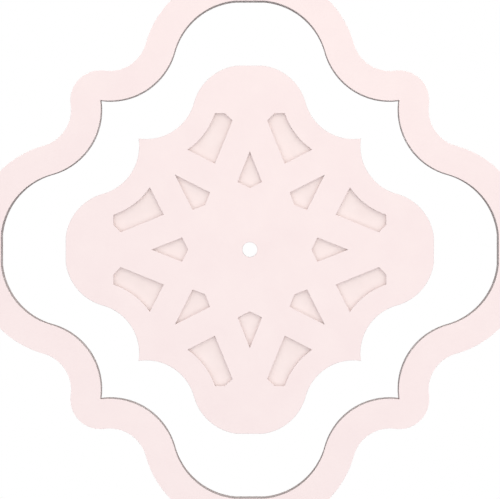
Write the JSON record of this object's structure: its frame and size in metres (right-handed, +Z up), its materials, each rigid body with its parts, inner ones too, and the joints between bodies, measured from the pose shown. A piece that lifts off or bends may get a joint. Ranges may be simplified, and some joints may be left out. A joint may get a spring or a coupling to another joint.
{
  "type": "ceiling medallion",
  "caption": "Flat ogee quatrefoil ceiling medallion: a plate with a round wire hole and blind fan and kite pockets, set inside a separate flat ring of the same outline.",
  "frame": {"origin": "the point on the ceiling at the middle of the wire hole, in the plane of both backs", "axes": "+Z up, into the ceiling; the decorated faces look down, towards -Z; X and Y run through the middles of the four lobes"},
  "size_m": [1.0668, 1.0668, 0.0254],
  "materials": {
    "plate_paint": "matt pale blush paint on rigid foam board",
    "ring_paint": "matt pale blush paint on rigid foam board"
  },
  "bodies": {
    "root": {"centre_plate": "plate_paint", "outer_ring": "ring_paint"}
  },
  "joints": []
}
